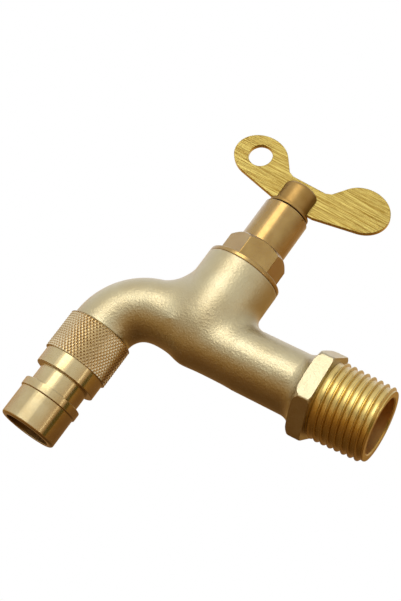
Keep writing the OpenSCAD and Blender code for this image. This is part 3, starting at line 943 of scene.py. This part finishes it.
@dataclass
class Nozzle:
    """Turned hose nozzle with a diamond-knurled collar."""

    reach: float = 22.7
    top: float = -12.2
    knurl_r: float = 9.25
    knurl_low: float = -23.3
    knurl_edge: float = 0.1
    knurl_rows: int = 16
    knurl_depth: float = 0.36
    steps: int = 112
    shoulder: Point = (8.65, -27.9)
    neck: Point = (6.95, -32.8)
    rib: Point = (8.3, -35.1)
    tip: Point = (7.9, -43.8)
    tip_bevel: float = 0.4
    mouth: Point = (6.3, -40.8)
    bore_r: float = 5.3
    ledge: float = -22.4
    socket_r: float = 7.64
    edge: float = 0.22

    def knurl_heights(self) -> list[float]:
        """Heights of the rows of the knurl, from the top down."""
        high, low = self.top - self.knurl_edge, self.knurl_low + self.knurl_edge
        return [high + (low - high) * row / self.knurl_rows for row in range(self.knurl_rows + 1)]

    def press_knurl(self, bm: bmesh.types.BMesh) -> None:
        """Sink every second crossing of the grid, so that the collar is covered with small diamonds."""
        heights = self.knurl_heights()
        step = (heights[0] - heights[-1]) / self.knurl_rows
        for vert in bm.verts:
            radius = math.hypot(vert.co.x, vert.co.y)
            row = (heights[0] - vert.co.z) / step
            if abs(radius - self.knurl_r) > 1e-3 or abs(row - round(row)) > 1e-3:
                continue
            column = math.atan2(vert.co.y, vert.co.x) / math.tau * self.steps
            if (round(column) + round(row)) % 2 == 0:
                sunk = 1 - self.knurl_depth / self.knurl_r
                vert.co.x *= sunk
                vert.co.y *= sunk
        faces = [f for f in bm.faces if all(
            math.hypot(v.co.x, v.co.y) > self.knurl_r - self.knurl_depth - 1e-3 for v in f.verts)]
        bmesh.ops.triangulate(bm, faces=faces, quad_method="SHORT_EDGE")

    def build(self, polished: bpy.types.Material, knurled: bpy.types.Material,
              drilled: bpy.types.Material) -> bpy.types.Object:
        """Model the nozzle as one closed shell.

        Args:
            polished: Finish of the turned steps.
            knurled: Finish of the knurled collar, lighter than the polished steps as a painted highlight.
            drilled: Finish of the bore, rough as drilled and darker than the outside as painted shade inside
                the mouth.

        Returns:
            The piece.
        """
        tip_r, tip_z = self.tip
        mouth_r, mouth_z = self.mouth
        collar = [(self.knurl_r, z) for z in self.knurl_heights()]
        bm = spun([(self.socket_r, self.top), (self.knurl_r - self.knurl_edge, self.top)] + collar + [
            (self.knurl_r - self.knurl_edge, self.knurl_low), (self.shoulder[0], self.knurl_low),
            self.shoulder, (self.neck[0], self.shoulder[1]), self.neck, (self.rib[0], self.neck[1]),
            self.rib, (tip_r, self.rib[1]), (tip_r, tip_z + self.tip_bevel),
            (tip_r - self.tip_bevel, tip_z), (mouth_r, tip_z), (mouth_r, mouth_z),
            (self.bore_r, mouth_z), (self.bore_r, self.ledge), (self.socket_r, self.ledge)],
            steps=self.steps)
        ease_edges(bm, self.edge, sharp=30, segments=3,
                   keep=lambda e: max(v.co.z for v in e.verts) < self.knurl_low - 0.1)
        self.press_knurl(bm)
        # The knurled collar's lighter tone paints the highlights of its facets.
        set_material((f for f in bm.faces if f.calc_center_median().z > self.knurl_low + 0.05
                      and f.calc_center_median().xy.length > self.socket_r + 0.3), 1)
        # The bore's rough finish is real; its darker tone is painted shade inside the mouth.
        set_material((f for f in bm.faces if f.calc_center_median().z < self.ledge
                      and f.calc_center_median().xy.length < mouth_r), 2)
        return piece("hose_nozzle", bm, spindle_frame(shift=-self.reach), (polished, knurled, drilled),
                     Body.TAP, ("nozzle",), crease=24)


@dataclass(frozen=True)
class InnerPart:
    """A solid inside the valve that keeps its form and gets a finish."""

    node: str
    finish: Finish

    def dress(self) -> None:
        """Give the solid its finish."""
        material = self.finish.material()
        for slot in frame["nodes"][self.node].material_slots:
            slot.material = material
        log.info("%s: dressed as %s", self.node, self.finish.name)


@dataclass
class Studio:
    """Camera, lamps, cards and floor."""

    camera_place: tuple[float, float, float] = (0.07333, -0.27787, -0.08932)
    right: tuple[float, float, float] = (0.8400, 0.1645, 0.5171)
    up: tuple[float, float, float] = (-0.4029, -0.4493, 0.7974)
    back: tuple[float, float, float] = (0.3635, -0.8781, -0.3111)
    lens: float = 73.0
    centre: tuple[float, float, float] = (-0.033, 0.0, 0.005)
    floor_z: float = -0.25

    def axes(self) -> Matrix:
        """The camera's axes as a turn."""
        return Matrix((self.right, self.up, self.back)).transposed()

    def camera(self) -> None:
        """Set up the camera at the photograph's viewing angle."""
        data = bpy.data.cameras.new("camera")
        data.lens = self.lens
        data.sensor_width = 36
        data.clip_start = 0.01
        obj = bpy.data.objects.new("camera", data)
        bpy.context.scene.collection.objects.link(obj)
        turn = self.axes().to_quaternion()
        obj.matrix_world = Matrix.Translation(self.camera_place) @ turn.to_matrix().to_4x4()
        bpy.context.scene.camera = obj

    def facing(self, sight: Sequence[float], distance: float) -> Matrix:
        """A place seen from the tap in a direction of the camera's axes, turned to face the tap."""
        towards = self.axes() @ Vector(sight).normalized()
        place = Vector(self.centre) + towards * distance
        return Matrix.Translation(place) @ towards.to_track_quat("Z", "Y").to_matrix().to_4x4()

    def lamp(self, name: str, sight: Sequence[float], distance: float, size: Sequence[float],
             level: float, roll: float = 0.0) -> None:
        """A soft box. Its level is the brightness that a mirror shows, where white is 1."""
        data = bpy.data.lights.new(name, "AREA")
        data.shape = "RECTANGLE"
        data.size, data.size_y = size
        data.energy = level * math.pi * size[0] * size[1]
        obj = bpy.data.objects.new(name, data)
        bpy.context.scene.collection.objects.link(obj)
        obj.matrix_world = self.facing(sight, distance) @ Matrix.Rotation(math.radians(roll), 4, "Z")
        obj.visible_camera = False

    def veil(self, name: str, sight: Sequence[float], radius: float, fade: Point,
             tones: Sequence[tuple[float, Colour]]) -> None:
        """A globe round the tap that darkens one side of what the metal mirrors.

        Args:
            name: Name of the globe.
            sight: Direction of its dark pole, along the camera's axes.
            radius: Its radius in metres.
            fade: Where it starts and where it is full, as the cosine of the angle from the pole.
            tones: Its brightness as a mirror shows it, at cosines from there to the pole.
        """
        bm = bmesh.new()
        bmesh.ops.create_icosphere(bm, subdivisions=4, radius=radius)
        pole = self.facing(sight, 0.0)
        bmesh.ops.transform(bm, matrix=pole, verts=bm.verts)
        obj = loose_object(bm, name)
        material = bpy.data.materials.new(name)
        material.use_nodes = True
        tree = Tree(material.node_tree)
        glow = tree.node("ShaderNodeEmission")
        parts = tree.node("ShaderNodeSeparateXYZ")
        cosine = tree.node("ShaderNodeMath", operation="DIVIDE")
        cosine.inputs[1].default_value = radius / MM
        dark = tree.node("ShaderNodeMapRange", interpolation_type="SMOOTHSTEP")
        dark.inputs["From Min"].default_value = fade[0]
        dark.inputs["From Max"].default_value = fade[1]
        ramp = tree.node("ShaderNodeValToRGB")
        steps = ramp.color_ramp.elements
        while len(steps) < len(tones):
            steps.new(1.0)
        for step, (place, tone) in zip(steps, tones):
            step.position = place
            step.color = (*tone, 1)
        mix = tree.node("ShaderNodeMixShader")
        spot = Matrix.Translation(pole.translation / MM) @ pole.to_3x3().to_4x4()
        tree.link(tree.place(spot), parts.inputs["Vector"])
        tree.link(parts.outputs["Z"], cosine.inputs[0])
        tree.link(cosine.outputs["Value"], dark.inputs["Value"])
        tree.link(cosine.outputs["Value"], ramp.inputs["Fac"])
        tree.link(ramp.outputs["Color"], glow.inputs["Color"])
        tree.link(dark.outputs["Result"], mix.inputs["Fac"])
        tree.link(tree.node("ShaderNodeBsdfTransparent").outputs["BSDF"], mix.inputs[1])
        tree.link(glow.outputs["Emission"], mix.inputs[2])
        tree.link(mix.outputs["Shader"], tree.node("ShaderNodeOutputMaterial").inputs["Surface"])
        obj.data.materials.append(material)
        obj.visible_camera = False
        obj.visible_diffuse = False
        obj.visible_shadow = False

    def floor(self) -> None:
        """Pale floor below the tap."""
        bm = bmesh.new()
        bmesh.ops.create_grid(bm, x_segments=1, y_segments=1, size=1.5)
        bmesh.ops.translate(bm, vec=(0, 0, self.floor_z), verts=bm.verts)
        obj = loose_object(bm, "floor")
        material = bpy.data.materials.new("pale_floor")
        material.use_nodes = True
        tree = Tree(material.node_tree)
        spot = tree.place(Matrix())
        grain = tree.noise(spot, 0.02, 2.0)
        colour = tree.blend(grain, (0.88, 0.88, 0.87), (0.92, 0.92, 0.91))
        tree.surface(0.0, tree.spread(grain, 0.6, 0.7), colour, tree.bump(grain, 0.02))
        obj.data.materials.append(material)

    def world(self) -> None:
        """White surroundings, which the camera and the metal see in full."""
        world = bpy.data.worlds.new("studio")
        bpy.context.scene.world = world
        world.use_nodes = True
        tree = Tree(world.node_tree)
        rays = tree.node("ShaderNodeLightPath")
        seen = tree.node("ShaderNodeMath", operation="ADD", use_clamp=True)
        shown = tree.node("ShaderNodeMath", operation="ADD", use_clamp=True)
        soft = tree.node("ShaderNodeBackground")
        soft.inputs["Strength"].default_value = 0.6
        full = tree.node("ShaderNodeBackground")
        for back in (soft, full):
            back.inputs["Color"].default_value = (1, 1, 1, 1)
        mix = tree.node("ShaderNodeMixShader")
        tree.link(rays.outputs["Is Camera Ray"], seen.inputs[0])
        tree.link(rays.outputs["Is Glossy Ray"], seen.inputs[1])
        tree.link(seen.outputs["Value"], shown.inputs[0])
        tree.link(rays.outputs["Is Transmission Ray"], shown.inputs[1])
        tree.link(shown.outputs["Value"], mix.inputs["Fac"])
        tree.link(soft.outputs["Background"], mix.inputs[1])
        tree.link(full.outputs["Background"], mix.inputs[2])
        tree.link(mix.outputs["Shader"], tree.node("ShaderNodeOutputWorld").inputs["Surface"])

    def build(self) -> None:
        """Set up everything round the tap."""
        self.camera()
        self.world()
        self.floor()
        self.lamp("broad_light", (-0.16, 0.79, 0.595), 0.5, (0.45, 0.45), 0.5)
        self.lamp("key_light", (-0.16, 0.77, 0.61), 0.5, (0.25, 0.25), 2.2)
        self.lamp("strip_light", (0.678, -0.22, 0.70), 0.32, (0.035, 0.14), 2.4)
        self.veil("low_veil", (-0.15, -0.97, -0.15), 0.21, (-0.5, 0.35), [
            (0.0, (0.62, 0.36, 0.08)), (0.55, (0.27, 0.14, 0.05)), (1.0, (0.12, 0.06, 0.02))])
        self.veil("right_veil", (0.98, 0.1, -0.17), 0.225, (0.4, 1.5), [
            (0.0, (0.4, 0.3, 0.16)), (1.0, (0.3, 0.22, 0.12))])
        self.veil("stripe_veil", (0.77, -0.48, 0.42), 0.2, (0.975, 0.99), [
            (0.0, (0.12, 0.1, 0.02)), (1.0, (0.12, 0.1, 0.02))])
        bpy.context.scene.view_settings.view_transform = "Standard"


def inner_parts() -> list[InnerPart]:
    """The solids inside the valve with their finishes."""
    rubber = Moulded("rubber", linear(28, 28, 28), linear(38, 38, 37), 0.5, 0.65)
    nylon = Moulded("nylon", linear(236, 234, 224), linear(228, 226, 214), 0.35, 0.5)
    ceramic = Moulded("ceramic", linear(240, 238, 232), linear(232, 229, 222), 0.12, 0.25,
                      grain_depth=0.003)
    key_place = spindle_frame(4)
    steel = Turned("spring_steel", linear(190, 190, 192), linear(165, 165, 168), 0.25, 0.4,
                   place=key_place)
    strainer = Blasted("strainer_steel", linear(205, 205, 205), linear(185, 185, 186), 0.3, 0.4,
                       grain_depth=0.01)
    brass = Turned("spindle_brass", linear(215, 180, 105), linear(200, 160, 85), 0.2, 0.35,
                   place=key_place)
    return [
        InnerPart("bonnet_o_ring", rubber), InnerPart("lower_o_ring", rubber),
        InnerPart("upper_o_ring", rubber), InnerPart("seat_seal", rubber),
        InnerPart("nozzle_washer", rubber), InnerPart("thrust_washer", nylon),
        InnerPart("moving_disc", ceramic), InnerPart("fixed_disc", ceramic),
        InnerPart("circlip", steel), InnerPart("nozzle_screen", strainer),
        InnerPart("spindle", brass),
    ]


def main() -> None:
    """Build the tap's pieces in order and the studio round them."""
    logging.basicConfig(level=logging.INFO, format="%(name)s %(message)s")
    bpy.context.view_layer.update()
    Studio().build()
    cast = Blasted("cast_brass", linear(186, 174, 136), linear(176, 160, 119), 0.3, 0.4, coat=1.0)
    thread = Turned("machined_brass", linear(208, 182, 104), linear(198, 168, 86), 0.2, 0.3,
                    coat=1.0, place=inlet_frame())
    bore = Turned("drilled_brass", linear(214, 170, 104), linear(202, 152, 84), 0.45, 0.55,
                  place=inlet_frame())
    Casting().build(cast.material(), thread.material(), bore.material())
    bonnet = Turned("turned_brass", linear(166, 134, 70), linear(154, 119, 54), 0.14, 0.22,
                    coat=1.0, place=spindle_frame())
    Bonnet().build(bonnet.material())
    key = Key()
    head = Turned("key_brass", linear(160, 128, 74), linear(148, 114, 60), 0.34, 0.44,
                  place=spindle_frame(key.turn))
    key.stem(head.material())
    brushed = Brushed("brushed_sheet", linear(164, 146, 76), linear(116, 88, 18), 0.3, 0.5,
                      place=spindle_frame(key.turn), coat=0.25)
    # Sheared edges: a cut finish in a lighter tone that paints their highlight line.
    sheared_and_highlit = Turned("sheared_edge_painted_highlight", linear(235, 215, 130), linear(220, 190, 100), 0.2, 0.3,
                     place=spindle_frame(key.turn))
    key.wings(brushed.material(), sheared_and_highlit.material())
    nozzle = Nozzle()
    at_nozzle = spindle_frame(shift=-nozzle.reach)
    polished = Turned("polished_brass", linear(190, 172, 126), linear(180, 158, 108), 0.1, 0.18,
                      coat=1.0, place=at_nozzle)
    # Knurl: the polished brass in a lighter tone, a painted highlight over the facets.
    knurled = Turned("knurled_brass_painted_highlight", linear(216, 200, 164), linear(202, 182, 142), 0.12, 0.2,
                     coat=1.0, place=at_nozzle)
    # Nozzle bore: a rough drilled finish with a darker tone that paints the shade inside the mouth.
    bored_and_shaded = Turned("bored_brass_painted_shade", linear(150, 122, 80), linear(130, 102, 62), 0.45, 0.55,
                   place=at_nozzle)
    nozzle.build(polished.material(), knurled.material(), bored_and_shaded.material())
    for part in inner_parts():
        part.dress()


if __name__ == "__main__":
    main()
